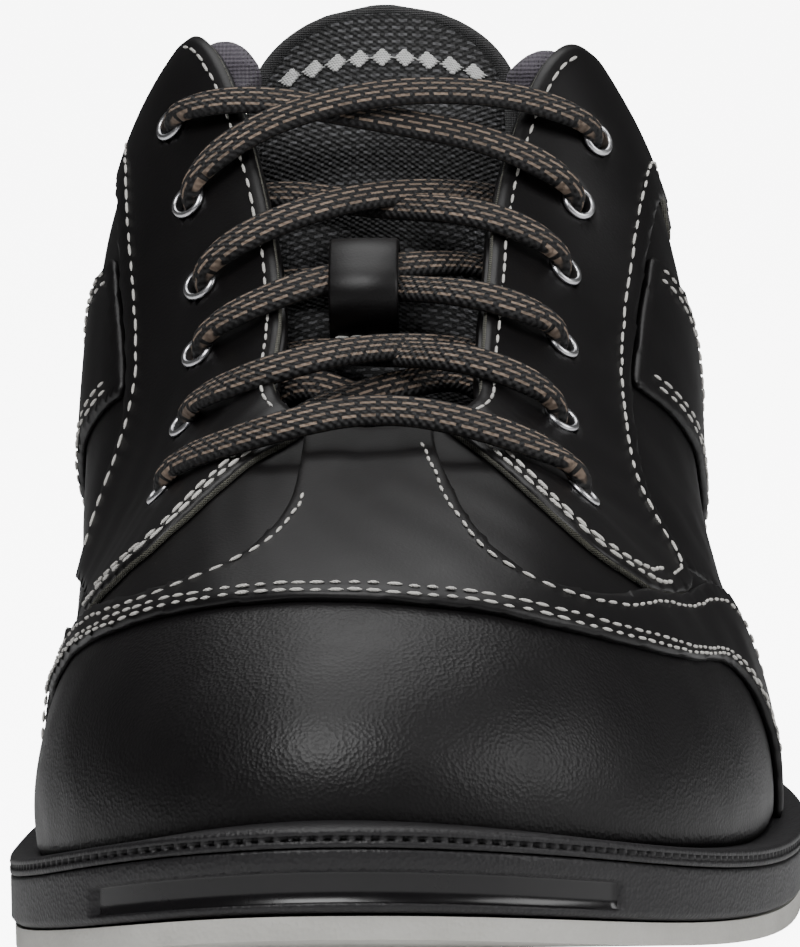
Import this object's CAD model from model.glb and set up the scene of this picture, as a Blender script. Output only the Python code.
import math

import bpy
import numpy as np
from mathutils import Matrix, Vector


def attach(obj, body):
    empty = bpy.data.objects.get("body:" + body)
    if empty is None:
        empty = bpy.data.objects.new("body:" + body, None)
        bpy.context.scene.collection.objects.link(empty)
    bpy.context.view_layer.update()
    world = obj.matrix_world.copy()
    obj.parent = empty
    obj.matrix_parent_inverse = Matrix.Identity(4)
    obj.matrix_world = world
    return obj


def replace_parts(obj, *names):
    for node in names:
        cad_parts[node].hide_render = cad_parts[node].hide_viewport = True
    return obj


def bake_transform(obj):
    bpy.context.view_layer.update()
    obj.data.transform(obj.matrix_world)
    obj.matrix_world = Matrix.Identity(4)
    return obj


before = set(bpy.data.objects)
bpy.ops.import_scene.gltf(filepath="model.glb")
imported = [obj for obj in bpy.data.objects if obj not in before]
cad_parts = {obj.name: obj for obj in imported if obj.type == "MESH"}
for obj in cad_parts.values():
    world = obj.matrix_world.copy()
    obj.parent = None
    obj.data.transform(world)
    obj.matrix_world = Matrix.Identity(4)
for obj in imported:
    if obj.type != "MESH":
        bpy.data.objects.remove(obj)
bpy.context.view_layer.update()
rng = np.random.default_rng(7)
MM = 0.001

# ---- camera: a long lens, nearly straight on to the toe ------------------------------------
CAMERA_AT = (0.0264, -0.8571, 0.1313)
YAW, PITCH, ROLL = math.radians(1.65), math.radians(4.97), math.radians(-0.97)
ahead = Vector((-math.sin(YAW) * math.cos(PITCH), math.cos(YAW) * math.cos(PITCH), -math.sin(PITCH)))
level = Vector((math.cos(YAW), math.sin(YAW), 0))
above = level.cross(ahead)
right = level * math.cos(ROLL) + above * math.sin(ROLL)
up = above * math.cos(ROLL) - level * math.sin(ROLL)
camera_data = bpy.data.cameras.new("camera")
camera_data.sensor_fit = "HORIZONTAL"
camera_data.sensor_width = 36.0
camera_data.lens = 257.1
camera = bpy.data.objects.new("camera", camera_data)
camera.matrix_world = Matrix((
    (right.x, up.x, -ahead.x, CAMERA_AT[0]),
    (right.y, up.y, -ahead.y, CAMERA_AT[1]),
    (right.z, up.z, -ahead.z, CAMERA_AT[2]),
    (0, 0, 0, 1),
))
bpy.context.collection.objects.link(camera)
bpy.context.scene.camera = camera

# ---- the last, as in the CAD ----------------------------------------------------------------
SOLE_TOP, TOE_RISE, HEEL_RISE, TOE_SPRING = 12.0, 12.0, 11.5, 11.5
WELT, LEATHER, LINING = 2.4, 1.2, 1.2
OVERLAY, BASE, INNER = 0.1, -1.3, -3.7
FACE = OVERLAY + LEATHER
RIBS = [
    ((1, 143), (25, 3), (1, 131, 90), (0, 5, -22)),
    ((-22, 133), (25, 3), (-19, 124, 88), (-6, 3, -24)),
    ((-32, 104), (25, 5), (-32, 102, 80), (-7, 2, -22)),
    ((-32, 66), (24, 9), (-37, 72, 79), (-8, 0, -20)),
    ((-33, 32), (26, 15), (-38, 46, 100), (-12, 0, -22)),
    ((-37, 0), (27, 17), (-28, 25, 122), (-19, -4, -22)),
    ((-42.5, -32), (26, 12), (-16, -10, 93), (-18, -3, -16)),
    ((-46, -64), (24, 6), (-14.5, -37, 77), (-16, -3, -15)),
    ((-45.5, -92), (23, 4), (-14, -49, 72), (-16, -13, -12)),
    ((-37, -120), (23, 4), (-10, -55, 69), (-14, -28, -8)),
    ((-23, -137), (23, 3), (-5, -57.5, 68), (-8, -40, -9)),
    ((-7, -144), (23, 3), (0, -58, 67.5), (-2, -44, -10)),
    ((11, -141), (23, 3), (5, -57.5, 68), (5, -40, -9)),
    ((29, -129), (23, 3), (10, -55, 69), (12, -31, -8)),
    ((44.5, -105), (23, 4), (14, -50, 71), (15, -16, -12)),
    ((53, -76), (25, 4), (14.5, -38, 76), (15, -2, -18)),
    ((55.3, -46), (26, 3), (15.5, -20, 87), (17, -2, -19)),
    ((51, -14), (26, 5), (18, 4, 103), (19, -3, -19)),
    ((42, 14), (27, 11), (28, 25, 120), (18, -4, -23)),
    ((37, 42), (26, 13), (38, 46, 100), (12, 0, -22)),
    ((35, 72), (24, 9), (38, 72, 79), (8, 0, -20)),
    ((34, 106), (25, 5), (33, 102, 80), (7, 2, -22)),
    ((24, 133), (25, 3), (19, 124, 88), (6, 3, -24)),
]


def toe_curve(y, length):
    """Share of the toe's rise at y"""
    return np.maximum(0.0, (-62 - y) / length) ** 2


def sole_top(y):
    """Height of the sole's upper edge"""
    return SOLE_TOP + TOE_RISE * toe_curve(y, 84) + HEEL_RISE / (1 + np.exp((38 - y) / 16))


def sole_bottom(y):
    """Height of the tread"""
    return TOE_SPRING * toe_curve(y, 89)


def midsole_bottom(y):
    """Sits on the slide sole in front and on the heel pad behind"""
    return sole_bottom(y) + 3.2 + 1.8 / (1 + np.exp((53 - y) / 1.5))


def rounded_loop(knots, rows):
    """Smooth closed curve through rows at the given knots; the last knot is the length"""
    count = len(rows)
    steps = np.diff(knots)
    system = np.zeros((count, count))
    target = np.zeros(rows.shape)
    for i in range(count):
        before, after = steps[i - 1], steps[i]
        system[i, i - 1] += before
        system[i, i] += 2 * (before + after)
        system[i, (i + 1) % count] += after
        rise = (rows[(i + 1) % count] - rows[i]) / after
        fall = (rows[i] - rows[i - 1]) / before
        target[i] = 6 * (rise - fall)
    bend = np.linalg.solve(system, target)

    def at(place):
        place = np.asarray(place, float) % knots[-1]
        i = np.clip(np.searchsorted(knots, place, side="right") - 1, 0, count - 1)
        j = (i + 1) % count
        a, b, h = (knots[i + 1] - place)[..., None], (place - knots[i])[..., None], steps[i][..., None]
        cubic = (bend[i] * a**3 + bend[j] * b**3) / (6 * h)
        return cubic + (rows[i] / h - bend[i] * h / 6) * a + (rows[j] / h - bend[j] * h / 6) * b

    return at


rib_rows = np.array([[*foot, *rise, *top, *handle] for foot, rise, top, handle in RIBS], float)
rib_feet = rib_rows[:, 0:2]
rib_steps = np.linalg.norm(np.roll(rib_feet, -1, axis=0) - rib_feet, axis=1)
rib_knots = np.concatenate([[0.0], np.cumsum(rib_steps)])
GIRTH = rib_knots[-1]  # length of the feather line, mm
rib_at = rounded_loop(rib_knots, rib_rows)


def last_point(s, v):
    """Points of the last s mm round the feather line and v (0 to 1) up their rib"""
    row = rib_at(s)
    along = (rib_at(s + 0.5) - rib_at(s - 0.5))[..., 0:2]
    along = along / np.linalg.norm(along, axis=-1, keepdims=True)
    start = np.stack([row[..., 0], row[..., 1], sole_top(row[..., 1])], axis=-1)
    rise, out = row[..., 2], row[..., 3]
    first = start + np.stack([out * along[..., 1], -out * along[..., 0], rise], axis=-1)
    top = row[..., 4:7]
    second = top + row[..., 7:10]
    v = np.asarray(v, float)[..., None]
    w = 1 - v
    return w**3 * start + 3 * w * w * v * first + 3 * w * v * v * second + v**3 * top


def last_normal(s, v):
    """Outward unit normals of the last"""
    s, v = np.asarray(s, float), np.asarray(v, float)
    round_it = last_point(s + 0.3, v) - last_point(s - 0.3, v)
    up_it = last_point(s, v + 0.002) - last_point(s, v - 0.002)
    normal = np.cross(round_it, up_it)
    return normal / np.linalg.norm(normal, axis=-1, keepdims=True)


def off_last(s, v, offset):
    """Points that stand off the last by offset"""
    return last_point(s, v) + offset * last_normal(s, v)


def smooth(points, count=160):
    """Smooth open curve through points, count points long"""
    points = np.array(points, float)
    knots = np.concatenate([[0], np.cumsum(np.linalg.norm(np.diff(points, axis=0), axis=1))])
    n = len(points)
    system, target = np.eye(n), np.zeros(points.shape)
    steps = np.diff(knots)
    for i in range(1, n - 1):
        system[i, i - 1 : i + 2] = steps[i - 1], 2 * (steps[i - 1] + steps[i]), steps[i]
        rise = (points[i + 1] - points[i]) / steps[i]
        target[i] = 6 * (rise - (points[i] - points[i - 1]) / steps[i - 1])
    bend = np.linalg.solve(system, target)
    place = np.linspace(0, knots[-1], count)
    i = np.clip(np.searchsorted(knots, place, side="right") - 1, 0, n - 2)
    a, b, h = (knots[i + 1] - place)[:, None], (place - knots[i])[:, None], steps[i][:, None]
    cubic = (bend[i] * a**3 + bend[i + 1] * b**3) / (6 * h)
    return cubic + (points[i] / h - bend[i] * h / 6) * a + (points[i + 1] / h - bend[i + 1] * h / 6) * b


def even(points, step):
    """The same curve with points step apart"""
    length = np.concatenate([[0], np.cumsum(np.linalg.norm(np.diff(points, axis=0), axis=1))])
    count = max(2, round(length[-1] / step) + 1)
    at = np.linspace(0, length[-1], count)
    return np.stack([np.interp(at, length, points[:, k]) for k in range(points.shape[1])], axis=1)


# ---- plan views of the seams ------------------------------------------------------------------
CAP_SEAM = [(-70, -34), (-47, -50), (-45, -66), (-40, -86), (-34, -99), (-24, -109), (-8, -116), (5, -117),
            (14, -115.5), (26, -110.5), (37, -98), (45, -78), (50, -62), (75, -40)]
SADDLE_INNER = [(-70, -12), (-48, -22), (-45, -34), (-42, -62), (-35, -89), (-26, -102), (-18, -103.5),
                (-12.5, -96), (-10, -80), (-9.8, -50)]
SADDLE_OUTER = [(8, -50), (8.6, -68), (11.5, -86), (15.5, -99), (21, -105), (28, -101.5), (36.5, -83),
                (40.5, -70), (48, -41), (54, -30), (75, -12)]
EYESTAY_FRONT_INNER = [(-8, -57), (-12, -64), (-17, -70), (-23.5, -79.5), (-30, -84), (-37, -78), (-42, -64)]
EYESTAY_BACK_INNER = [(-42, -64), (-47, -46), (-48.5, -30), (-44, -24), (-39, -17), (-38, -7),
                      (-39.5, 6), (-41, 23), (-42, 46)]
EYESTAY_FRONT_OUTER = [(8, -56), (12.5, -65), (17, -73), (23, -81.5), (30, -85.5), (37.5, -79), (42.5, -62)]
EYESTAY_BACK_OUTER = [(42.5, -62), (43.5, -52), (39, -41), (36.5, -27), (36, -8), (37.4, 5),
                      (39.7, 18), (43, 46)]
VAMP_BACK = [(-70, -12), (-46, -31), (-38, -44), (-28, -52), (-12, -44), (0, -38),
             (12, -46), (28, -56), (40, -52), (50, -34), (75, -12)]
EYELETS_INNER = [(167.6, 0.87), (178.6, 0.844), (189, 0.822), (198.2, 0.788), (212, 0.743), (240.9, 0.70)]
EYELETS_OUTER = [(501, 0.856), (488.6, 0.84), (474, 0.832), (452.7, 0.818), (429.1, 0.794), (395.7, 0.711)]


def moved(points, dx, dy):
    return [(x + dx, y + dy) for x, y in points]


def polygon(*runs):
    """Closed polygon from smooth runs and straight pairs"""
    loop = []
    for run in runs:
        loop.extend(smooth(run, 60) if len(run) > 2 else np.array(run, float))
    return np.array(loop)


def inside(points, loop):
    """Signed distance of 2-D points to a closed polygon, positive inside"""
    shape = points.shape[:-1]
    p = points.reshape(-1, 2)
    a, b = loop, np.roll(loop, -1, axis=0)
    keep = np.linalg.norm(b - a, axis=1) > 1e-6
    a, b = a[keep], b[keep]
    near = np.full(len(p), 1e9)
    crossings = np.zeros(len(p), int)
    for start, end in zip(a, b):
        edge = end - start
        t = np.clip(((p - start) @ edge) / (edge @ edge), 0, 1)
        near = np.minimum(near, np.linalg.norm(p - start - t[:, None] * edge, axis=1))
        if start[1] != end[1]:
            spans = (start[1] > p[:, 1]) != (end[1] > p[:, 1])
            x_cut = start[0] + (p[:, 1] - start[1]) * edge[0] / edge[1]
            crossings += spans & (p[:, 0] < x_cut)
    return (near * np.where(crossings % 2 == 1, 1, -1)).reshape(shape)


def cap_front(shift):
    edge = moved(CAP_SEAM, 0, shift)
    return polygon(edge, [edge[-1], (75, -170)], [(75, -170), (-70, -170)], [(-70, -170), edge[0]])


def behind(shift):
    edge = moved(VAMP_BACK, 0, shift)
    return polygon(edge, [edge[-1], (75, 170)], [(75, 170), (-70, 170)], [(-70, 170), edge[0]])


def saddle_region(grow=0.0):
    edge = moved(CAP_SEAM, 0, -1.8)
    inner, outer = moved(SADDLE_INNER, 0, grow), moved(SADDLE_OUTER, 0, grow)
    return polygon(edge, outer[::-1], [outer[0], inner[-1]], inner[::-1])


def eyestay_region(front, back, side, grow=0.0):
    outer = moved(back, side * grow, 0)
    throat = [(side * 2, 46), (side * 2, front[0][1])]
    return polygon([throat[1], front[0]], front, outer, [outer[-1], throat[0]])


STRIPE = polygon(
    [(0, 94), (20, 85), (45, 62), (66, 34), (76, 10)], [(76, 10), (44, 10)],
    [(44, 10), (28, 38), (8, 58), (-20, 76)], [(-20, 76), (0, 94)],
)
HEEL = polygon([(84, 10), (92, 36), (108, 56), (124, 66), (150, 70)],
               [(150, 70), (160, 70)], [(160, 10), (84, 10)])

# ---- mesh helpers ---------------------------------------------------------------------------


def add_mesh(name, points, faces, materials, body="shoe", uvs=None, face_material=None, flat=False):
    """New object from points in mm; it rides on a body"""
    mesh = bpy.data.meshes.new(name)
    places = [tuple(p) for p in np.asarray(points, float) * MM]
    mesh.from_pydata(places, [], [tuple(map(int, f)) for f in faces])
    mesh.validate()
    if uvs is not None:
        layer = mesh.uv_layers.new(name="cloth")
        uvs = np.asarray(uvs, float)
        index = np.zeros(len(mesh.loops), int)
        mesh.loops.foreach_get("vertex_index", index)
        layer.data.foreach_set("uv", uvs[index].ravel())
    for material in materials:
        mesh.materials.append(material)
    if face_material is not None and len(face_material) == len(mesh.polygons):
        mesh.polygons.foreach_set("material_index", np.asarray(face_material, int))
    if not flat:
        mesh.shade_smooth()
    thing = bpy.data.objects.new(name, mesh)
    bpy.context.collection.objects.link(thing)
    if body:
        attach(thing, body)
    return thing


def grid_faces(rows, columns, wrap_rows=False, wrap_columns=False):
    faces = []
    for i in range(rows if wrap_rows else rows - 1):
        for j in range(columns if wrap_columns else columns - 1):
            k, l = (i + 1) % rows, (j + 1) % columns
            faces.append((i * columns + j, k * columns + j, k * columns + l, i * columns + l))
    return faces


def tube(path, radius, around=8, taper=0.0):
    """Points and faces of a round tube along path; taper rounds its ends"""
    path = np.asarray(path, float)
    tangent = np.gradient(path, axis=0)
    tangent /= np.linalg.norm(tangent, axis=1, keepdims=True) + 1e-12
    side = np.cross(tangent[0], (0.31, 0.52, 0.79))
    points = []
    length = np.concatenate([[0], np.cumsum(np.linalg.norm(np.diff(path, axis=0), axis=1))])
    for i, (centre, along) in enumerate(zip(path, tangent)):
        side = side - along * (side @ along)
        side /= np.linalg.norm(side)
        other = np.cross(along, side)
        r = radius[i] if np.ndim(radius) else radius
        if taper:
            near_end = min(length[i], length[-1] - length[i])
            r = r * math.sqrt(max(0.03, 1 - max(0.0, 1 - near_end / taper) ** 2))
        angle = np.arange(around) * 2 * math.pi / around
        points.append(centre + r * (np.cos(angle)[:, None] * side + np.sin(angle)[:, None] * other))
    count = len(path)
    faces = grid_faces(count, around, wrap_columns=True)
    faces.append(tuple(range(around))[::-1])
    faces.append(tuple((count - 1) * around + np.arange(around)))
    return np.concatenate(points), faces


class Batch:
    """Many small pieces in one mesh"""

    def __init__(self):
        self.points, self.faces, self.count = [], [], 0

    def add(self, points, faces):
        self.points.append(np.asarray(points))
        self.faces.extend(tuple(int(i) + self.count for i in face) for face in faces)
        self.count += len(points)

    def make(self, name, materials, body="shoe"):
        return add_mesh(name, np.concatenate(self.points), self.faces, materials, body)


# ---- materials ------------------------------------------------------------------------------


class Shader:
    """One procedural material"""

    def __init__(self, name, rough=0.5, metal=0.0, specular=0.5):
        self.material = bpy.data.materials.new(name)
        self.material.use_nodes = True
        self.tree = self.material.node_tree
        self.out = self.tree.nodes["Principled BSDF"]
        self.out.inputs["Roughness"].default_value = rough
        self.out.inputs["Metallic"].default_value = metal
        self.out.inputs["Specular IOR Level"].default_value = specular
        coordinates = self.tree.nodes.new("ShaderNodeTexCoord")
        self.place, self.uv = coordinates.outputs["Object"], coordinates.outputs["UV"]
        self.height = None

    def node(self, kind, links=None, **values):
        node = self.tree.nodes.new("ShaderNode" + kind)
        for key, value in values.items():
            name = key.replace("_", " ").title()
            if name in node.inputs:
                node.inputs[name].default_value = value
            else:
                setattr(node, key, value)
        for key, socket in (links or {}).items():
            self.tree.links.new(socket, node.inputs[key])
        return node

    def noise(self, scale, detail=3.0):
        return self.node("TexNoise", {"Vector": self.place}, scale=scale, detail=detail).outputs["Fac"]

    def cells(self, scale, feature="F1"):
        node = self.node("TexVoronoi", {"Vector": self.place}, scale=scale, feature=feature)
        return node.outputs["Distance"]

    def mix(self, factor, low, high):
        """Colour between low and high by factor"""
        node = self.node("ValToRGB", {"Fac": factor})
        node.color_ramp.elements[0].color = (*low, 1)
        node.color_ramp.elements[1].color = (*high, 1)
        return node

    def colour(self, socket):
        self.tree.links.new(socket, self.out.inputs["Base Color"])

    def roughness(self, factor, low, high):
        node = self.node("MapRange", {"Value": factor})
        node.inputs["To Min"].default_value, node.inputs["To Max"].default_value = low, high
        self.tree.links.new(node.outputs["Result"], self.out.inputs["Roughness"])

    def bump(self, socket, distance, strength=1.0, invert=False):
        node = self.node("Bump", {"Height": socket}, strength=strength, distance=distance)
        node.invert = invert
        if self.height is not None:
            self.tree.links.new(self.height, node.inputs["Normal"])
        self.height = node.outputs["Normal"]
        self.tree.links.new(self.height, self.out.inputs["Normal"])


def leather(name, low, high, rough, pebble=0.0):
    shader = Shader(name, specular=0.36)
    shader.colour(shader.mix(shader.noise(70, 5), low, high).outputs["Color"])
    shader.roughness(shader.noise(160, 4), rough, rough + 0.14)
    shader.bump(shader.noise(45, 2), 0.0005, 0.12)
    shader.bump(shader.noise(2600, 2), 0.00004, 0.5)
    if pebble:
        shader.bump(shader.cells(1900), 0.00010, pebble)
    return shader.material


def woven(name, low, high, scale, rough=0.8, depth=0.0002):
    """Two crossed wave textures and a little fuzz"""
    shader = Shader(name, rough)
    shader.colour(shader.mix(shader.noise(scale * 0.6, 4), low, high).outputs["Color"])
    for direction in ("X", "Z"):
        wave = shader.node("TexWave", {"Vector": shader.place}, scale=scale, distortion=1.5,
                           bands_direction=direction)
        shader.bump(wave.outputs["Fac"], depth, 0.6)
    shader.bump(shader.noise(scale * 6), depth, 0.4)
    shader.out.inputs["Sheen Weight"].default_value = 0.15
    return shader.material


def dashes(name, ground, mark, size, rough, repeat=1.0, edge=None):
    """Rows of small woven dashes; UVs are in mm"""
    shader = Shader(name, rough)
    brick = shader.node("TexBrick", {"Vector": shader.uv}, scale=repeat, offset=0.5)
    width, row, gap = size
    settings = {"Brick Width": width, "Row Height": row, "Mortar Size": gap, "Mortar Smooth": 0.25}
    for key, value in settings.items():
        brick.inputs[key].default_value = value
    brick.inputs["Color1"].default_value = (*mark, 1)
    brick.inputs["Color2"].default_value = (*[c * 0.55 for c in mark], 1)
    brick.inputs["Mortar"].default_value = (*ground, 1)
    shader.colour(brick.outputs["Color"])
    for angle in (0.9, -0.9):
        turned = shader.node("Mapping", {"Vector": shader.uv})
        turned.inputs["Rotation"].default_value = (0, 0, angle)
        wave = shader.node("TexWave", {"Vector": turned.outputs["Vector"]}, scale=edge or 0.42)
        shader.bump(wave.outputs["Fac"], 0.00025, 0.7)
    return shader.material


CAP = leather("pebbled_leather", (0.0022, 0.0018, 0.0021), (0.0050, 0.0041, 0.0046), 0.38, pebble=0.6)
SMOOTH = leather("smooth_leather", (0.0020, 0.0016, 0.0018), (0.0042, 0.0034, 0.0038), 0.36, pebble=0.1)
CUT = woven("cut_leather_edge", (0.055, 0.055, 0.042), (0.13, 0.125, 0.095), 1100, 0.9)
LINING_CLOTH = woven("lining_cloth", (0.030, 0.028, 0.032), (0.06, 0.057, 0.064), 700)
KNIT = woven("collar_knit", (0.060, 0.052, 0.068), (0.125, 0.110, 0.135), 520, 0.9, 0.0004)
FOOTBED_CLOTH = woven("footbed_cloth", (0.020, 0.020, 0.022), (0.045, 0.045, 0.050), 600)
BINDING = woven("tongue_binding", (0.004, 0.004, 0.0045), (0.011, 0.011, 0.012), 900, 0.62)
MESH = dashes("tongue_mesh", (0.002, 0.002, 0.0022), (0.09, 0.09, 0.095), (2.1, 1.35, 0.46), 0.7)
BRAID = dashes("lace_braid", (0.0035, 0.003, 0.0035), (0.27, 0.20, 0.15), (2.9, 1.2, 0.43), 0.72)


def thread_material(name, colour):
    shader = Shader(name, 0.55)
    shader.colour(shader.mix(shader.noise(900), tuple(c * 0.62 for c in colour), colour).outputs["Color"])
    wave = shader.node("TexWave", {"Vector": shader.place}, scale=1500.0, bands_direction="DIAGONAL")
    shader.bump(wave.outputs["Fac"], 0.00012, 0.6)
    return shader.material


THREAD = thread_material("white_thread", (0.86, 0.84, 0.79))
EMBROIDERY = thread_material("embroidery_thread", (0.80, 0.80, 0.79))


def rubber(name, low, high, rough, grain, depth):
    shader = Shader(name, rough)
    shader.colour(shader.mix(shader.noise(110, 4), low, high).outputs["Color"])
    shader.roughness(shader.noise(220, 3), rough, rough + 0.12)
    shader.bump(shader.cells(grain), depth, 0.5)
    return shader.material


SIDE = rubber("stippled_rubber", (0.004, 0.0036, 0.0045), (0.009, 0.008, 0.0095), 0.46, 1700, 0.0002)
GLOSS = rubber("polished_rubber", (0.003, 0.0027, 0.0033), (0.006, 0.0052, 0.006), 0.20, 400, 0.00002)
HEEL_RUBBER = rubber("heel_rubber", (0.012, 0.012, 0.013), (0.026, 0.026, 0.028), 0.62, 900, 0.0003)
SLIDE = rubber("slide_fibre", (0.46, 0.45, 0.42), (0.66, 0.65, 0.61), 0.72, 1400, 0.00015)


def metal(name, colour, rough):
    shader = Shader(name, rough, metal=1.0)
    shader.colour(shader.mix(shader.noise(300, 4), tuple(c * 0.8 for c in colour), colour).outputs["Color"])
    shader.roughness(shader.noise(500, 5), rough, rough + 0.15)
    shader.bump(shader.noise(800), 0.00005, 0.4)
    return shader.material


NICKEL = metal("nickel", (0.78, 0.78, 0.80), 0.22)
STEEL = metal("spring_steel", (0.45, 0.45, 0.47), 0.35)
BOARD = woven("fibre_board", (0.26, 0.20, 0.13), (0.42, 0.33, 0.22), 300)
CORK = rubber("cork", (0.22, 0.13, 0.06), (0.42, 0.28, 0.15), 0.85, 500, 0.0005)
TIP = rubber("aglet_plastic", (0.010, 0.010, 0.010), (0.018, 0.018, 0.018), 0.25, 600, 0.00003)

CAD_MATERIALS = {
    "slide_sole": SLIDE,
    "heel_pad": HEEL_RUBBER,
    "shank": STEEL,
    "insole_board": BOARD,
    "bottom_filler": CORK,
    "toe_puff": BOARD,
    "heel_stiffener": BOARD,
    "aglets": TIP,
}
for name, material in CAD_MATERIALS.items():
    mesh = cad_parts[name].data
    mesh.materials.clear()
    mesh.materials.append(material)

# ---- upper: each panel is cut from a layer of the last --------------------------------------
STATIONS = np.linspace(0, GIRTH, 549)
HEIGHTS = np.linspace(0, 1, 66)


def eyelet_clear(points):
    """Distance to the nearest eyelet hole's wall"""
    centres = [last_point(*place) for place in EYELETS_INNER + EYELETS_OUTER]
    axes = [last_normal(*place) for place in EYELETS_INNER + EYELETS_OUTER]
    near = np.full(points.shape[:-1], 1e9)
    for centre, axis in zip(centres, axes):
        offset = points - centre
        off_axis = np.linalg.norm(offset - (offset @ axis)[..., None] * axis, axis=-1)
        far = np.abs(offset @ axis) > 12
        near = np.minimum(near, np.where(far, 1e9, off_axis - 2.4))
    return near


def panel(name, field, offset=BASE, thickness=LEATHER, start=0.0, top=1.0, material=SMOOTH, rim=None,
          crease=0.10, node=None):
    """Leather shell over the part of the last where field(points) is positive"""
    s, v = np.meshgrid(STATIONS + start, HEIGHTS * top, indexing="ij")
    value = field(last_point(s, v), s, v)
    rows, columns = s.shape
    s, v, value = s.ravel(), v.ravel(), value.ravel().copy()
    value[np.abs(value) < 0.02] = 0.02
    keys, sv, faces = {}, [], []

    def corner(i):
        if i not in keys:
            keys[i] = len(sv)
            sv.append((s[i], v[i]))
        return keys[i]

    def cut(i, j):
        pair = (min(i, j), max(i, j))
        if pair not in keys:
            t = value[i] / (value[i] - value[j])
            keys[pair] = len(sv)
            sv.append((s[i] + (s[j] - s[i]) * t, v[i] + (v[j] - v[i]) * t))
        return keys[pair]

    positive = value.reshape(rows, columns) > 0
    any_in = positive[:-1, :-1] | positive[1:, :-1] | positive[:-1, 1:] | positive[1:, 1:]
    for i, j in zip(*np.nonzero(any_in)):
        a = i * columns + j
        square = (a, a + columns, a + columns + 1, a + 1)
        face = []
        for k in range(4):
            here, after = square[k], square[(k + 1) % 4]
            if value[here] > 0:
                face.append(corner(here))
            if (value[here] > 0) != (value[after] > 0):
                face.append(cut(here, after))
        if len(face) > 2:
            faces.append(tuple(face))
    sv = np.array(sv)
    count = len(sv)
    edges = {}
    for face in faces:
        for k in range(len(face)):
            pair = (face[k], face[(k + 1) % len(face)])
            edges[pair] = edges.get(pair, 0) + 1
    border = [pair for pair in edges if (pair[1], pair[0]) not in edges]
    on_border = np.zeros(count, bool)
    on_border[[i for pair in border for i in pair]] = True
    wave = np.sin(sv[:, 0] * 0.31 + 3 * np.sin(sv[:, 1] * 9)) * np.sin(sv[:, 1] * 23 + sv[:, 0] * 0.11)
    swell = crease * wave
    outer = off_last(sv[:, 0], sv[:, 1], 0.0)
    normal = last_normal(sv[:, 0], sv[:, 1])
    high = outer + normal * (offset + thickness + swell - 0.4 * on_border)[:, None]
    low = outer + normal * (offset + swell)[:, None]
    shell = list(faces)
    shell += [tuple(i + count for i in face[::-1]) for face in faces]
    kinds = [0] * len(shell)
    for i, j in border:
        shell.append((j, i, i + count, j + count))
        kinds.append(1)
    uvs = np.concatenate([sv * (1, 80)] * 2)
    materials = [material, rim or material]
    thing = add_mesh(name, np.concatenate([high, low]), shell, materials, uvs=uvs, face_material=kinds)
    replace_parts(thing, node or name)
    return thing


def plan_field(loop, extra=None):
    def field(points, s, v):
        value = inside(points[..., 0:2], loop)
        return np.minimum(value, extra(points, s, v)) if extra else value

    return field


def stay_floor(points):
    """Height that an eyestay stays above: it ends higher behind the instep"""
    return np.where(points[..., 1] > 20, 56, 44)


def halves(side):
    return lambda points, s, v: np.minimum(side * (points[..., 0] - 1), eyelet_clear(points))


saddle_loop, saddle_grown = saddle_region(), saddle_region(0.5)
panel("leather_toe_cap", plan_field(cap_front(5)), material=CAP, node="toe_cap", crease=0.06)
vamp_loop = polygon(moved(CAP_SEAM, 0, 5.4), VAMP_BACK[::-1])
panel("leather_vamp", plan_field(vamp_loop, lambda p, s, v: eyelet_clear(p)), node="vamp")
panel("leather_saddle", plan_field(saddle_loop), offset=OVERLAY, node="saddle")
vamp_front = polygon(VAMP_BACK, [VAMP_BACK[-1], (75, -170)], [(-70, -170), VAMP_BACK[0]])
panel("inner_vamp_lining", plan_field(vamp_front, lambda p, s, v: eyelet_clear(p)),
      offset=INNER, thickness=LINING, material=LINING_CLOTH, node="vamp_lining")
panel("inner_quarter_lining", plan_field(behind(0.6), lambda p, s, v: eyelet_clear(p)),
      offset=INNER, thickness=LINING, start=GIRTH / 2, top=0.90, material=LINING_CLOTH, node="quarter_lining")
for side_name, front, back, side in (
    ("medial", EYESTAY_FRONT_INNER, EYESTAY_BACK_INNER, -1),
    ("lateral", EYESTAY_FRONT_OUTER, EYESTAY_BACK_OUTER, 1),
):
    panel("leather_quarter_" + side_name, plan_field(behind(0.4), halves(side)),
          start=GIRTH / 2, node="quarter_" + side_name)
    stay, stay_grown = eyestay_region(front, back, side), eyestay_region(front, back, side, 0.6)

    def stay_extra(points, s, v):
        clear = np.minimum(-inside(points[..., 0:2], saddle_grown), points[..., 2] - stay_floor(points))
        return np.minimum(clear, eyelet_clear(points))

    panel("leather_eyestay_" + side_name, plan_field(stay, stay_extra), offset=OVERLAY,
          node="eyestay_" + side_name, rim=CUT)

    def stripe_field(points, s, v):
        value = np.minimum(inside(points[..., 1:3], STRIPE), side * points[..., 0])
        high = points[..., 2] > stay_floor(points)
        value = np.where(high, np.minimum(value, -inside(points[..., 0:2], stay_grown)), value)
        return np.minimum(value, -inside(points[..., 0:2], saddle_grown))

    panel("leather_stripe_" + side_name, stripe_field, offset=OVERLAY,
          node="stripe_" + side_name)

panel("leather_heel_cover", lambda p, s, v: inside(p[..., 1:3], HEEL), offset=OVERLAY,
      start=GIRTH / 2, node="heel_cover")
BACKSTAY = polygon([(-7, 71), (9, 71)], [(12, 100), (-10, 100)])
panel("leather_backstay", lambda p, s, v: np.minimum(inside(p[..., [0, 2]], BACKSTAY), p[..., 1] - 100),
      offset=OVERLAY, start=GIRTH / 2, node="backstay")

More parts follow.
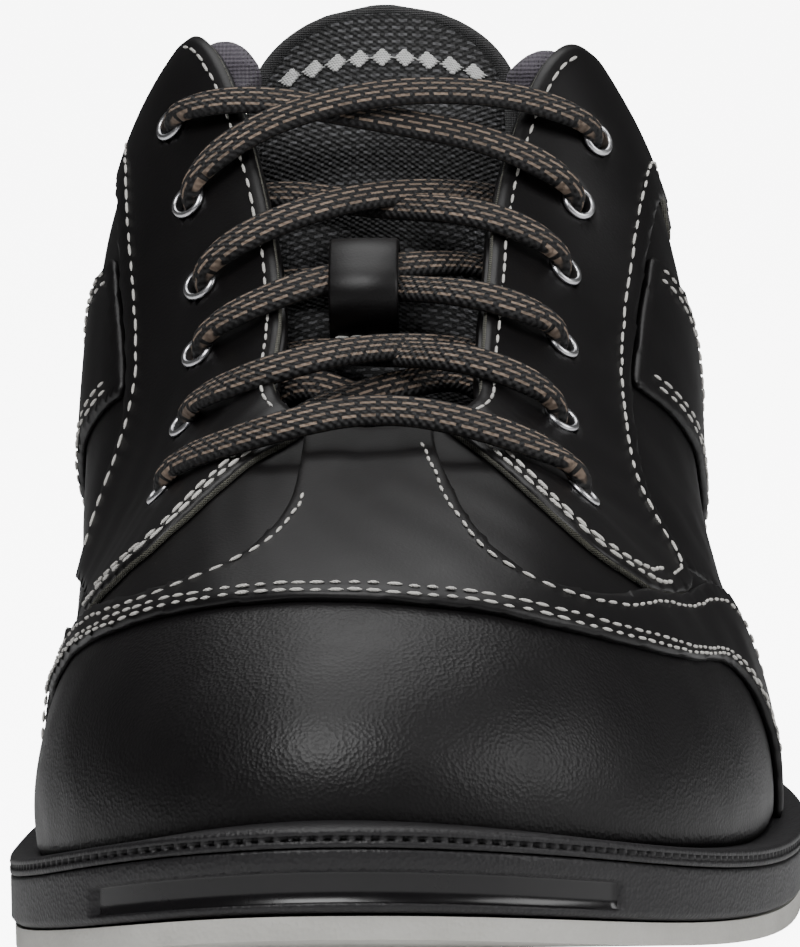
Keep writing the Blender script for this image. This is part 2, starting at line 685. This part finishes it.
# ---- sole -----------------------------------------------------------------------------------
SOLE_OUTLINE = [
    (-8, -151), (26, -140), (46.5, -112), (59, -65), (60, -45), (51, 10),
    (42, 45), (39, 100), (22, 143), (0, 151), (-24, 142), (-38, 100),
    (-36, 40), (-40, 5), (-48, -40), (-50.3, -75), (-43.5, -118), (-28, -142),
]


def loop_round(points, step, inset=0.0):
    """Closed outline as even points with outward normals"""
    points = np.array(points, float)
    chord = np.roll(points, -1, axis=0) - np.roll(points, 1, axis=0)
    chord /= np.linalg.norm(chord, axis=1, keepdims=True)
    points = points + inset * np.stack([-chord[:, 1], chord[:, 0]], axis=1)
    gaps = np.linalg.norm(np.roll(points, -1, axis=0) - points, axis=1)
    at = rounded_loop(np.concatenate([[0], np.cumsum(gaps)]), points)
    fine = at(np.linspace(0, gaps.sum(), 4001))
    fine = even(fine, step)[:-1]
    along = np.roll(fine, -1, axis=0) - np.roll(fine, 1, axis=0)
    along /= np.linalg.norm(along, axis=1, keepdims=True)
    return fine, np.stack([along[:, 1], -along[:, 0]], axis=1)


def ease(x):
    x = np.clip(x, 0, 1)
    return x * x * (3 - 2 * x)


def ring(name, rows, edge, normal, materials, node=None, face_kind=None):
    """Closed band round the outline; each row is (outwards, height) arrays"""
    count, columns = len(edge), len(rows)
    points = np.stack([
        np.column_stack([edge + normal * np.broadcast_to(out, count)[:, None], np.broadcast_to(z, count)])
        for out, z in rows
    ], axis=1)
    faces = grid_faces(count, columns, wrap_rows=True, wrap_columns=True)
    kinds = [face_kind(i, j) for i in range(count) for j in range(columns)] if face_kind else None
    thing = add_mesh(name, points.reshape(-1, 3), faces, materials, face_material=kinds)
    if node:
        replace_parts(thing, node)
    return thing


edge, outwards = loop_round(SOLE_OUTLINE, 0.5)
edge_y = edge[:, 1]
# notched welt: square holes every 2 mm
seat, welt_top = sole_top(edge_y) - WELT, sole_top(edge_y)
notch = -0.75 * (np.arange(len(edge)) % 4 < 2)
ring("notched_welt", [
    (-12.0, seat + 0.02), (0.0, seat + 0.02), (0.1, seat + 0.35), (0.1, seat + 0.75), (notch, seat + 0.8),
    (notch, seat + 1.5), (0.1, seat + 1.55), (0.0, welt_top - 0.3), (-0.5, welt_top), (-12.0, welt_top),
], edge, outwards, [SIDE], "welt")

# sidewall: stippled, with a polished panel let into its front
low, high = midsole_bottom(edge_y), sole_top(edge_y) - WELT - 0.2
front = ease((34.5 - np.abs(edge[:, 0] + 1)) / 1.2) * (edge_y < -110)
shares = [0, 0.0, 0.05, 0.12, 0.16, 0.19, 0.35, 0.5, 0.6, 0.63, 0.67, 0.74, 0.86, 0.95, 1.0, 1.0]
let_in = [0, 0, 0, 0, 0.3, 1, 1, 1, 1, 1, 0.3, 0, 0, 0, 0, 0]
base_out = [-14, -0.9, -0.35, 0, 0, 0, 0, 0, 0, 0, 0, 0, 0, 0, -0.2, -14]
rows = [(out - 0.8 * deep * front, low + (high - low) * share)
        for share, deep, out in zip(shares, let_in, base_out)]
ring("sidewall", rows, edge, outwards, [SIDE, GLOSS], "midsole",
     lambda i, j: 1 if 4 <= j <= 8 and front[i] > 0.9 else 0)

# footbed with a cupped rim
FEATHER = [foot for foot, rise, top, handle in RIBS]
bed_edge = loop_round(FEATHER, 3.0, 6.6)[0]
count = len(bed_edge)
bed = []
for share, lift in ((0.0, 0.0), (0.3, 0.0), (0.6, 0.0), (0.82, 0.1), (0.93, 0.5), (1.0, 1.3)):
    spine = np.column_stack([np.full(count, 0.0), bed_edge[:, 1] * 0.82])
    flat = spine + (bed_edge - spine) * share
    bed.append(np.column_stack([flat, sole_top(flat[:, 1]) + 6.9 + lift]))
bed.append(np.column_stack([bed_edge, sole_top(bed_edge[:, 1]) + 2.6]))
bed = np.stack(bed, axis=1)
footbed = add_mesh("sock_footbed", bed.reshape(-1, 3), grid_faces(count, bed.shape[1], wrap_rows=True),
                   [FOOTBED_CLOTH])
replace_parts(footbed, "footbed")

# ---- collar: a padded knit roll ---------------------------------------------------------------
around, steps = 30, 190
round_s = np.linspace(GIRTH + 168.0, 500.0, steps)
share_in = np.linspace(0, 1, steps)
swell = ease(1 - np.minimum(share_in, 1 - share_in) / 0.09)
centre = off_last(round_s, 0.985, (-5.1 - 0.8 * swell)[:, None])
tangent = np.gradient(centre, axis=0)
tangent /= np.linalg.norm(tangent, axis=1, keepdims=True)
out = last_normal(round_s, 0.94)
out -= (out * tangent).sum(1, keepdims=True) * tangent
out /= np.linalg.norm(out, axis=1, keepdims=True)
over = np.cross(tangent, out)
run = np.concatenate([[0], np.cumsum(np.linalg.norm(np.diff(centre, axis=0), axis=1))])
close = np.minimum(run, run[-1] - run)
thick = 3.45 * np.sqrt(np.clip(1 - np.maximum(0, 1 - close / 3.6) ** 2, 0.01, 1))
thick = thick * (1 + 0.2 * swell) * (1 + 0.035 * np.sin(run * 0.33) + 0.02 * np.sin(run * 0.81 + 1))
angle = np.arange(around) * 2 * math.pi / around
roll = centre[:, None] + thick[:, None, None] * (
    np.cos(angle)[None, :, None] * out[:, None] + 1.06 * np.sin(angle)[None, :, None] * over[:, None]
)
faces = grid_faces(steps, around, wrap_columns=True)
faces += [tuple(range(around))[::-1], tuple((steps - 1) * around + np.arange(around))]
collar = add_mesh("padded_collar", roll.reshape(-1, 3), faces, [KNIT])
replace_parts(collar, "collar")

# ---- eyelets: rolled rings with a barrel --------------------------------------------------------
rings = Batch()
profile = [(1.95, 1.6), (2.0, 1.85), (2.25, 2.02), (2.6, 1.95), (2.85, 1.65), (2.9, 1.36),
           (2.35, 1.3), (2.35, -3.9), (2.9, -4.0), (2.8, -4.3), (2.2, -4.4), (1.95, -4.1)]
for place in EYELETS_INNER + EYELETS_OUTER:
    axis = last_normal(*place)
    side = np.cross(axis, (0, 0, 1.0))
    side /= np.linalg.norm(side)
    other = np.cross(axis, side)
    turn = np.arange(40) * 2 * math.pi / 40
    spokes = np.cos(turn)[:, None] * side + np.sin(turn)[:, None] * other
    points = np.stack([last_point(*place) + r * spokes + h * axis for r, h in profile], axis=1)
    rings.add(points.reshape(-1, 3), grid_faces(40, len(profile), wrap_rows=True, wrap_columns=True))
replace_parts(rings.make("rolled_eyelets", [NICKEL]), "eyelets")

# ---- tongue: one padded mesh strip that bends at its hinge -----------------------------------
MIDLINE = [(-76, 55.5), (-62, 58.0), (-45, 60.8), (-34.8, 64.8), (-23.3, 72.5), (-5.4, 87.1), (4.6, 97.4),
           (14.4, 109.5), (20.4, 116.6), (25, 121.8), (28.4, 126.3)]
midline = even(smooth(MIDLINE, 400), 1.0)
length = np.arange(len(midline)) * 1.0
total = length[-1]
slope = np.gradient(midline, axis=0)
slope /= np.linalg.norm(slope, axis=1, keepdims=True)
half = np.interp(length, [0, 30, 60, 78, 92, 104, total - 12], [16, 17.5, 18, 18.5, 20, 20, 19.5])
from_end = np.clip((total - length) / 14.0, 0, 1)
half = half * np.sqrt(np.clip(1 - (1 - from_end) ** 2.6, 0.004, 1))


def tongue_point(along, across, depth):
    """Point of the tongue: mm from its lower end, share of its half width, mm under its face"""
    y, z = np.interp(along, length, midline[:, 0]), np.interp(along, length, midline[:, 1])
    dy, dz = np.interp(along, length, slope[:, 0]), np.interp(along, length, slope[:, 1])
    x = across * np.interp(along, length, half) - 0.6 * np.clip((np.asarray(along) - 70) / 20, 0, 1)
    drop = x * x / 72.0 + depth
    return np.stack([x, y + dz * drop, z - dy * drop], axis=-1)


section = []
for share in np.linspace(-1, 1, 33):
    section.append((share, 0.9 * abs(share) ** 8))
for share, depth in ((1.02, 2.0), (1.0, 3.1)):
    section.append((share, depth))
for share in np.linspace(0.97, -0.97, 17):
    section.append((share, 3.9 - 0.4 * abs(share) ** 6))
for share, depth in ((-1.0, 3.1), (-1.02, 2.0)):
    section.append((share, depth))
across, depth = np.array(section).T
points = tongue_point(length[:, None], across[None, :], depth[None, :] * np.ones((len(length), 1)))
faces = grid_faces(len(length), len(across), wrap_columns=True)
faces += [tuple(range(len(across)))[::-1], tuple((len(length) - 1) * len(across) + np.arange(len(across)))]
uvs = np.stack([np.broadcast_to(across[None, :] * half[:, None], points.shape[:2]),
                np.broadcast_to(length[:, None], points.shape[:2])], axis=-1)
tongue = add_mesh("mesh_tongue", points.reshape(-1, 3), faces, [MESH], body=None,
                  uvs=uvs.reshape(-1, 2))
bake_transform(tongue)
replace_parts(tongue, "tongue_base", "tongue_tip")

# binding round the rim of the tongue's free end
start = np.searchsorted(length, 84)
left = tongue_point(length[start:], -1.0, 1.3)
right_side = tongue_point(length[start:], 1.0, 1.3)[::-1]
rim = even(np.concatenate([left, right_side]), 1.0)
rim_points, rim_faces = tube(rim, 1.55, 12)
binding = add_mesh("tongue_binding", rim_points, rim_faces, [BINDING], body=None)
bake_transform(binding)

# a plain row of embroidered diamonds below the binding
motif = Batch()
for k in range(9):
    share = (k - 4) * 0.185
    for line in np.linspace(-1, 1, 9):
        reach = 1.75 * (1 - abs(line))
        middle = total - 9.5 - 2.2 * share * share + line * 1.9
        across_mm = share + np.linspace(-reach, reach, 6) / 18.0
        if reach > 0.2:
            motif.add(*tube(tongue_point(np.full(6, middle), across_mm, -0.15), 0.27, 6, taper=0.3))
embroidery = motif.make("tongue_embroidery", [EMBROIDERY], body=None)
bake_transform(embroidery)

# ---- keeper loop on the tongue ------------------------------------------------------------------
# Side view, along the tongue and out from it, round the place where two strands cross.
KEEPER_AT = (-15.2, 87.4)
KEEPER = [(-8.8, -6.2), (-9.6, -3.8), (-9.8, -0.8), (-9.3, 2.4), (-7.6, 4.7), (-4.0, 5.3),
          (-0.5, 5.0), (2.2, 3.9), (4.2, 1.9), (5.6, -0.6), (6.8, -3.2), (8.8, -5.0)]
strap_line = [(KEEPER_AT[0] + 0.77 * a - 0.64 * n, KEEPER_AT[1] + 0.64 * a + 0.77 * n) for a, n in KEEPER]
strap = even(smooth(strap_line, 200), 0.5)
away = np.gradient(strap, axis=0)
away /= np.linalg.norm(away, axis=1, keepdims=True)
away = np.stack([-away[:, 1], away[:, 0]], axis=1)
section = [(-7.6, 0.0), (-7.6, 0.75), (-7.2, 1.1), (-2.5, 1.2), (2.2, 1.1), (2.6, 0.75), (2.6, 0.0),
           (2.2, -0.1), (-7.2, -0.1)]
points = []
for (y, z), (ny, nz) in zip(strap, away):
    points.append([(x, y + ny * h, z + nz * h) for x, h in section])
points = np.array(points)
faces = grid_faces(len(strap), len(section), wrap_columns=True)
faces += [tuple(range(len(section)))[::-1], tuple((len(strap) - 1) * len(section) + np.arange(len(section)))]
keeper = add_mesh("leather_keeper", points.reshape(-1, 3), faces, [SMOOTH])
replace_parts(keeper, "lace_keeper")

# ---- lace: the cord's real route, smoothed, then swept as a flat braid ------------------------
# The cord's line off the last at an eyelet: outside, inside, and outside over the vamp.
OVER, UNDER, HIGH = 4.4, -7.4, 5.0
EDGE = {OVER: 3.9, UNDER: -7.4, HIGH: 5.5}  # and along UP from the throat's edge
UP = Vector((0, -0.64, 0.77))  # square to the throat's slope
INNER_ROW, OUTER_ROW = EYELETS_INNER, EYELETS_OUTER

# Each crossing: from eyelet, over or under at that edge, where (s, v) it crosses the edge, the
# same at the other end, how far its middle is lifted clear of its partner and how far it sags
# down the slope. Rows count from the top, L inner, R outer.
CROSSINGS = [
    ("L1", OVER, (176, 1), "R2", OVER, (483, 1), 0.4, 0.2),
    ("R2", UNDER, (483.5, 1), "L3", OVER, (192.5, 1), 2.2, -1.4),
    ("L3", UNDER, (193, 1), "R4", OVER, (439, 1), -1.9, -1.4),
    ("R4", UNDER, (438.5, 1), "L5", OVER, (242.5, 1), 0.8, -2.0),
    ("L5", UNDER, (215, 1), "R6", UNDER, (397, 1), -0.6, 0.0),
    ("R6", HIGH, (364, 0.87), "L6", HIGH, (285, 0.87), -0.4, -4.5),
    ("L6", UNDER, (246, 1), "R5", UNDER, (431, 1), 2.6, 0.0),
    ("R5", OVER, (412, 1), "L4", UNDER, (207.5, 1), -0.8, -0.9),
    ("L4", OVER, (206.5, 1), "R3", UNDER, (467.5, 1), 2.4, 0.1),
    ("R3", OVER, (466, 1), "L2", UNDER, (181, 1), -1.7, -0.5),
    ("L2", OVER, (180, 1), "R1", OVER, (492, 1), 3.8, -0.3),
]
SLOPE = Vector((0, 0.77, 0.64))  # up the throat


def eyelet_point(name, level):
    row = INNER_ROW if name[0] == "L" else OUTER_ROW
    return Vector(off_last(*row[int(name[1]) - 1], level))


def edge_point(place, level):
    """Where a strand crosses the throat's edge"""
    return Vector(last_point(*place)) + UP * EDGE[level]


lace_points = []
for first, first_level, first_edge, second, second_level, second_edge, lift, sag in CROSSINGS:
    start, end = eyelet_point(first, first_level), eyelet_point(second, second_level)
    near, far = edge_point(first_edge, first_level), edge_point(second_edge, second_level)
    middle = (near + far) * 0.5 + UP * lift - SLOPE * sag
    lace_points += [start, near, middle, far, end]

AGLET_LENGTH = 18.0
FIRST_END = (-16, 33, 27), (-17.2, 33.4, 27 + AGLET_LENGTH)  # the lace's ends hang inside the shoe
LAST_END = (16, 33, 27), (17.2, 33.4, 27 + AGLET_LENGTH)
FIRST_TAIL = [(-20, 34.3, 66), (-24, 26, 92), eyelet_point("L1", UNDER)]
LAST_TAIL = [eyelet_point("R1", UNDER), (24, 26, 92), (20, 34.3, 66)]
UP_WAY = np.array(UP)
lace_points = [FIRST_END[1], *FIRST_TAIL, *lace_points, *LAST_TAIL, LAST_END[1]]
route = bpy.data.curves.new("lace_route", "CURVE")
route.dimensions = "3D"
spline = route.splines.new("NURBS")
spline.points.add(len(lace_points) - 1)
for knot, point in zip(spline.points, lace_points):
    knot.co = (*[float(c) * MM for c in point], 1)
spline.order_u = 3
spline.use_endpoint_u = True
spline.resolution_u = 14
holder = bpy.data.objects.new("lace_route", route)
bpy.context.collection.objects.link(holder)
line = bpy.data.meshes.new_from_object(holder)
path = np.array([vertex.co for vertex in line.vertices]) / MM
bpy.data.objects.remove(holder)
bpy.data.meshes.remove(line)
path = even(path, 0.9)
centres = np.array([last_point(*place) for place in EYELETS_INNER + EYELETS_OUTER])
to_eyelet = np.linalg.norm(path[:, None] - centres[None], axis=2).min(axis=1)
wide = 1.55 + (2.75 - 1.55) * ease((to_eyelet - 2.5) / 8.0)
thin = 1.5 - 0.45 * ease((to_eyelet - 2.5) / 8.0)
tangent = np.gradient(path, axis=0)
tangent /= np.linalg.norm(tangent, axis=1, keepdims=True)
flat = np.array((1.0, 0.2, 0.1))
normals = []
for along in tangent:
    flat = flat - along * (flat @ along)
    flat /= np.linalg.norm(flat)
    wanted = UP_WAY - along * (UP_WAY @ along)
    strength = np.linalg.norm(wanted)
    wanted = wanted / (strength + 1e-9) * (1 if wanted @ flat >= 0 else -1)
    flat = flat + wanted * 0.35 * strength**2
    flat /= np.linalg.norm(flat)
    normals.append(flat)
normals = np.array(normals)
for _ in range(4):
    normals[1:-1] = (normals[:-2] + 2 * normals[1:-1] + normals[2:]) / 4
normals -= (normals * tangent).sum(1, keepdims=True) * tangent
normals /= np.linalg.norm(normals, axis=1, keepdims=True)
breadth = np.cross(tangent, normals)
around = 22
angle = np.arange(around) * 2 * math.pi / around
across = np.sign(np.cos(angle)) * np.abs(np.cos(angle)) ** 0.75
through = np.sign(np.sin(angle)) * np.abs(np.sin(angle)) ** 0.8
points = path[:, None] + wide[:, None, None] * across[None, :, None] * breadth[:, None] \
    + thin[:, None, None] * through[None, :, None] * normals[:, None]
run = np.arange(len(path)) * 0.9
uvs = np.stack([np.broadcast_to(run[:, None], points.shape[:2]),
                np.broadcast_to(across[None, :] * wide[:, None], points.shape[:2])], axis=-1)
faces = grid_faces(len(path), around, wrap_columns=True)
faces += [tuple(range(around))[::-1], tuple((len(path) - 1) * around + np.arange(around))]
lace = add_mesh("braided_lace", points.reshape(-1, 3), faces, [BRAID], uvs=uvs.reshape(-1, 2))
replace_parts(lace, "lace")

# ---- stitches -------------------------------------------------------------------------------


def seam_line(points, lift):
    """Curve on the last from (s, v) picks"""
    fine = smooth(points, 300)
    return off_last(fine[:, 0], fine[:, 1], lift)


SEAM_FOOT = 0.1  # height on the side wall where the seams meet the welt


def wall_place(line, side, v):
    """Place round the last where a plan line crosses its side wall"""
    s = np.linspace(20, GIRTH - 20, 1500)
    wall = last_point(s, v)
    line = line[line[:, 0] * side > 0]
    miss = (wall[:, 0][:, None] - line[:, 0]) ** 2 + (wall[:, 1][:, None] - line[:, 1]) ** 2
    return s[np.unravel_index(np.argmin(miss), miss.shape)[0]]


def plan_line(points, lift, low=0.02, high=0.98, feet=()):
    """Seam given in plan, laid on the last; at each end in feet it runs on down the side wall"""
    s, v = np.meshgrid(np.linspace(20, GIRTH - 20, 760), np.linspace(low, high, 160), indexing="ij")
    surface = last_point(s, v)
    found = []
    for x, y in even(smooth(points, 300), 1.2):
        miss = (surface[..., 0] - x) ** 2 + (surface[..., 1] - y) ** 2
        near = np.unravel_index(np.argmin(miss), miss.shape)
        if miss[near] < 1.0:
            found.append((s[near], v[near]))
    found = np.array(found)
    found = found[last_normal(found[:, 0], found[:, 1])[:, 2] > 0.22]
    for end in feet:
        side = 1 if last_point(*found[end])[0] > 0 else -1
        line = even(smooth(points, 300), 0.5)
        foot = np.array([wall_place(line, side, SEAM_FOOT), SEAM_FOOT])
        share = np.linspace(0, 1, 16)[1:, None]
        down = found[end] * (1 - share) + foot * share
        found = np.vstack([down[::-1], found]) if end == 0 else np.vstack([found, down])
    for _ in range(3):
        found[1:-1] = (found[:-2] + 2 * found[1:-1] + found[2:]) / 4
    return off_last(found[:, 0], found[:, 1], lift)


FINE = 0.25  # spacing of a seam's points


def stitches(name, lines, stitch=2.3, gap=0.6, radius=0.235, wobble=0.12):
    """Short threads along each line, their ends dipping into the leather"""
    batch = Batch()
    for line in lines:
        line = even(line, FINE)
        run, step = 0, stitch + gap
        length = (len(line) - 1) * FINE
        while run + stitch < length:
            part = line[int(run / FINE) : int((run + stitch) / FINE) + 1 : 2]
            if len(part) >= 4:
                part = part.copy()
                part += rng.normal(0, wobble * 0.35, 3)
                batch.add(*tube(part, radius, 6, taper=0.7))
            run += step * (1 + rng.normal(0, 0.03))
    return batch.make(name, [THREAD])


THREAD_LIFT = 0.12  # a thread's line over its leather
TOP = FACE + THREAD_LIFT
SUB = BASE + LEATHER + THREAD_LIFT
cap_rows = [plan_line(moved(CAP_SEAM, 0, shift), TOP, 0.2, feet=(0, -1)) for shift in (-0.9, 0.9)]
stitches("stitches_toe_cap", cap_rows, 1.9, 0.7)


def shifted(points, amount):
    """The seam moved sideways into its panel"""
    fine = smooth(points, 200)
    along = np.gradient(fine, axis=0)
    along /= np.linalg.norm(along, axis=1, keepdims=True)
    return fine + amount * np.stack([-along[:, 1], along[:, 0]], axis=1)


saddle_rows = [plan_line(shifted(SADDLE_INNER[:-1], -1.7)[::8], TOP, 0.2, feet=(0,)),
               plan_line(shifted(SADDLE_OUTER[1:], -1.7)[::8], TOP, 0.2, feet=(-1,))]
stitches("stitches_saddle", saddle_rows, 2.2, 0.8)
front_rows = [plan_line(shifted(EYESTAY_FRONT_INNER[1:], -1.6)[::8], TOP, 0.2),
              plan_line(shifted(EYESTAY_FRONT_INNER[1:], -3.3)[::8], TOP, 0.2),
              plan_line(shifted(EYESTAY_FRONT_OUTER[1:], 1.6)[::8], TOP, 0.2),
              plan_line(shifted(EYESTAY_FRONT_OUTER[1:], 3.3)[::8], TOP, 0.2)]
stitches("stitches_eyestay_front", front_rows, 2.4, 0.6, 0.3)
outer_rows = [plan_line(shifted(EYESTAY_BACK_INNER, -1.8)[::8], TOP, 0.2),
              plan_line(shifted(EYESTAY_BACK_OUTER, 1.8)[::8], TOP, 0.2)]
outer_rows = [row[(inside(row[:, 0:2], saddle_grown) < -0.8) & (row[:, 2] > 46)] for row in outer_rows]
stitches("stitches_eyestay_back", outer_rows, 2.4, 0.7)
throat_rows = [seam_line([(s, 1 - 2.1 / 75) for s in np.linspace(*ends, 24)], TOP)
               for ends in ((158, 268), (366, 512))]
stitches("stitches_throat", throat_rows, 2.4, 0.6)
collar_rows = [seam_line([(s, 1 - 2.6 / 80) for s in np.linspace(*ends, 40)], SUB)
               for ends in ((512, GIRTH - 6), (6, 156))]
stitches("stitches_topline", collar_rows, 2.3, 0.8)


def stripe_rows(side):
    """Stitch rows along both edges of the side stripe, and one more inside them"""
    rows = []
    for run, shifts in (([(0, 94), (20, 85), (45, 62), (66, 34), (73, 20)], (-2.0, -4.0)),
                        ([(44, 18), (28, 38), (8, 58), (-12, 71.5)], (-2.0, -4.0))):
        for shift in shifts:
            fine = shifted(run, shift)
            s, v = np.meshgrid(np.linspace(60, 215, 400) if side < 0 else np.linspace(455, 620, 400),
                               np.linspace(0.05, 0.96, 160), indexing="ij")
            surface = last_point(s, v)
            found = []
            for y, z in even(fine, 1.2):
                miss = (surface[..., 1] - y) ** 2 + (surface[..., 2] - z) ** 2
                near = np.unravel_index(np.argmin(miss), miss.shape)
                clear = inside(surface[near][None, 0:2], eyestay_region(*EDGES[side], side))[0] < -1.5
                if miss[near] < 1.0 and (clear or surface[near][2] < 44):
                    found.append((s[near], v[near]))
            found = np.array(found)
            for _ in range(3):
                found[1:-1] = (found[:-2] + 2 * found[1:-1] + found[2:]) / 4
            rows.append(off_last(found[:, 0], found[:, 1], TOP))
    return rows


EDGES = {-1: (EYESTAY_FRONT_INNER, EYESTAY_BACK_INNER), 1: (EYESTAY_FRONT_OUTER, EYESTAY_BACK_OUTER)}
stitches("stitches_stripes", stripe_rows(-1) + stripe_rows(1), 2.4, 0.7)
above_strap = strap + 1.3 * away
keeper_rows = [np.array([(x, *above_strap[k]) for x in np.linspace(-6.8, 1.8, 30)])
               for k in (5, 9, len(strap) - 9)]
stitches("stitches_keeper", keeper_rows, 2.0, 0.5)

# ---- stage ----------------------------------------------------------------------------------
floor_mesh = bpy.data.meshes.new("floor")
floor_mesh.from_pydata([(-6, -3, 0), (6, -3, 0), (6, 6, 0), (-6, 6, 0)], [], [(0, 1, 2, 3)])
floor_shader = Shader("pale_floor", 0.6)
pale = floor_shader.mix(floor_shader.noise(3, 2), (0.88, 0.88, 0.885), (0.92, 0.92, 0.92))
floor_shader.colour(pale.outputs["Color"])
glow = floor_shader.node("LightPath")
floor_shader.tree.links.new(glow.outputs["Is Camera Ray"], floor_shader.out.inputs["Emission Strength"])
floor_shader.out.inputs["Emission Color"].default_value = (8, 8, 8, 1)
floor_mesh.materials.append(floor_shader.material)
floor = bpy.data.objects.new("floor", floor_mesh)
bpy.context.collection.objects.link(floor)

# white to the camera, dim on the leather
world = bpy.data.worlds.new("studio")
world.use_nodes = True
background = world.node_tree.nodes["Background"]
background.inputs["Color"].default_value = (1, 1, 1, 1)
path_node = world.node_tree.nodes.new("ShaderNodeLightPath")
share = world.node_tree.nodes.new("ShaderNodeMapRange")
share.inputs["To Min"].default_value, share.inputs["To Max"].default_value = 0.07, 8.0
world.node_tree.links.new(path_node.outputs["Is Camera Ray"], share.inputs["Value"])
world.node_tree.links.new(share.outputs["Result"], background.inputs["Strength"])
bpy.context.scene.world = world


def soft_light(name, at, target, size, power):
    data = bpy.data.lights.new(name, "AREA")
    data.shape, data.size, data.energy = "SQUARE", size, power
    light = bpy.data.objects.new(name, data)
    light.location = at
    light.rotation_euler = (Vector(target) - Vector(at)).to_track_quat("-Z", "Y").to_euler()
    bpy.context.collection.objects.link(light)


soft_light("key", (-0.15, -0.7, 0.95), (0, -0.1, 0.04), 0.6, 10)
soft_light("fill", (0.9, -0.3, 0.5), (0, -0.05, 0.05), 0.5, 4)
soft_light("top", (0.0, 0.3, 1.1), (0, 0, 0.05), 0.8, 6)
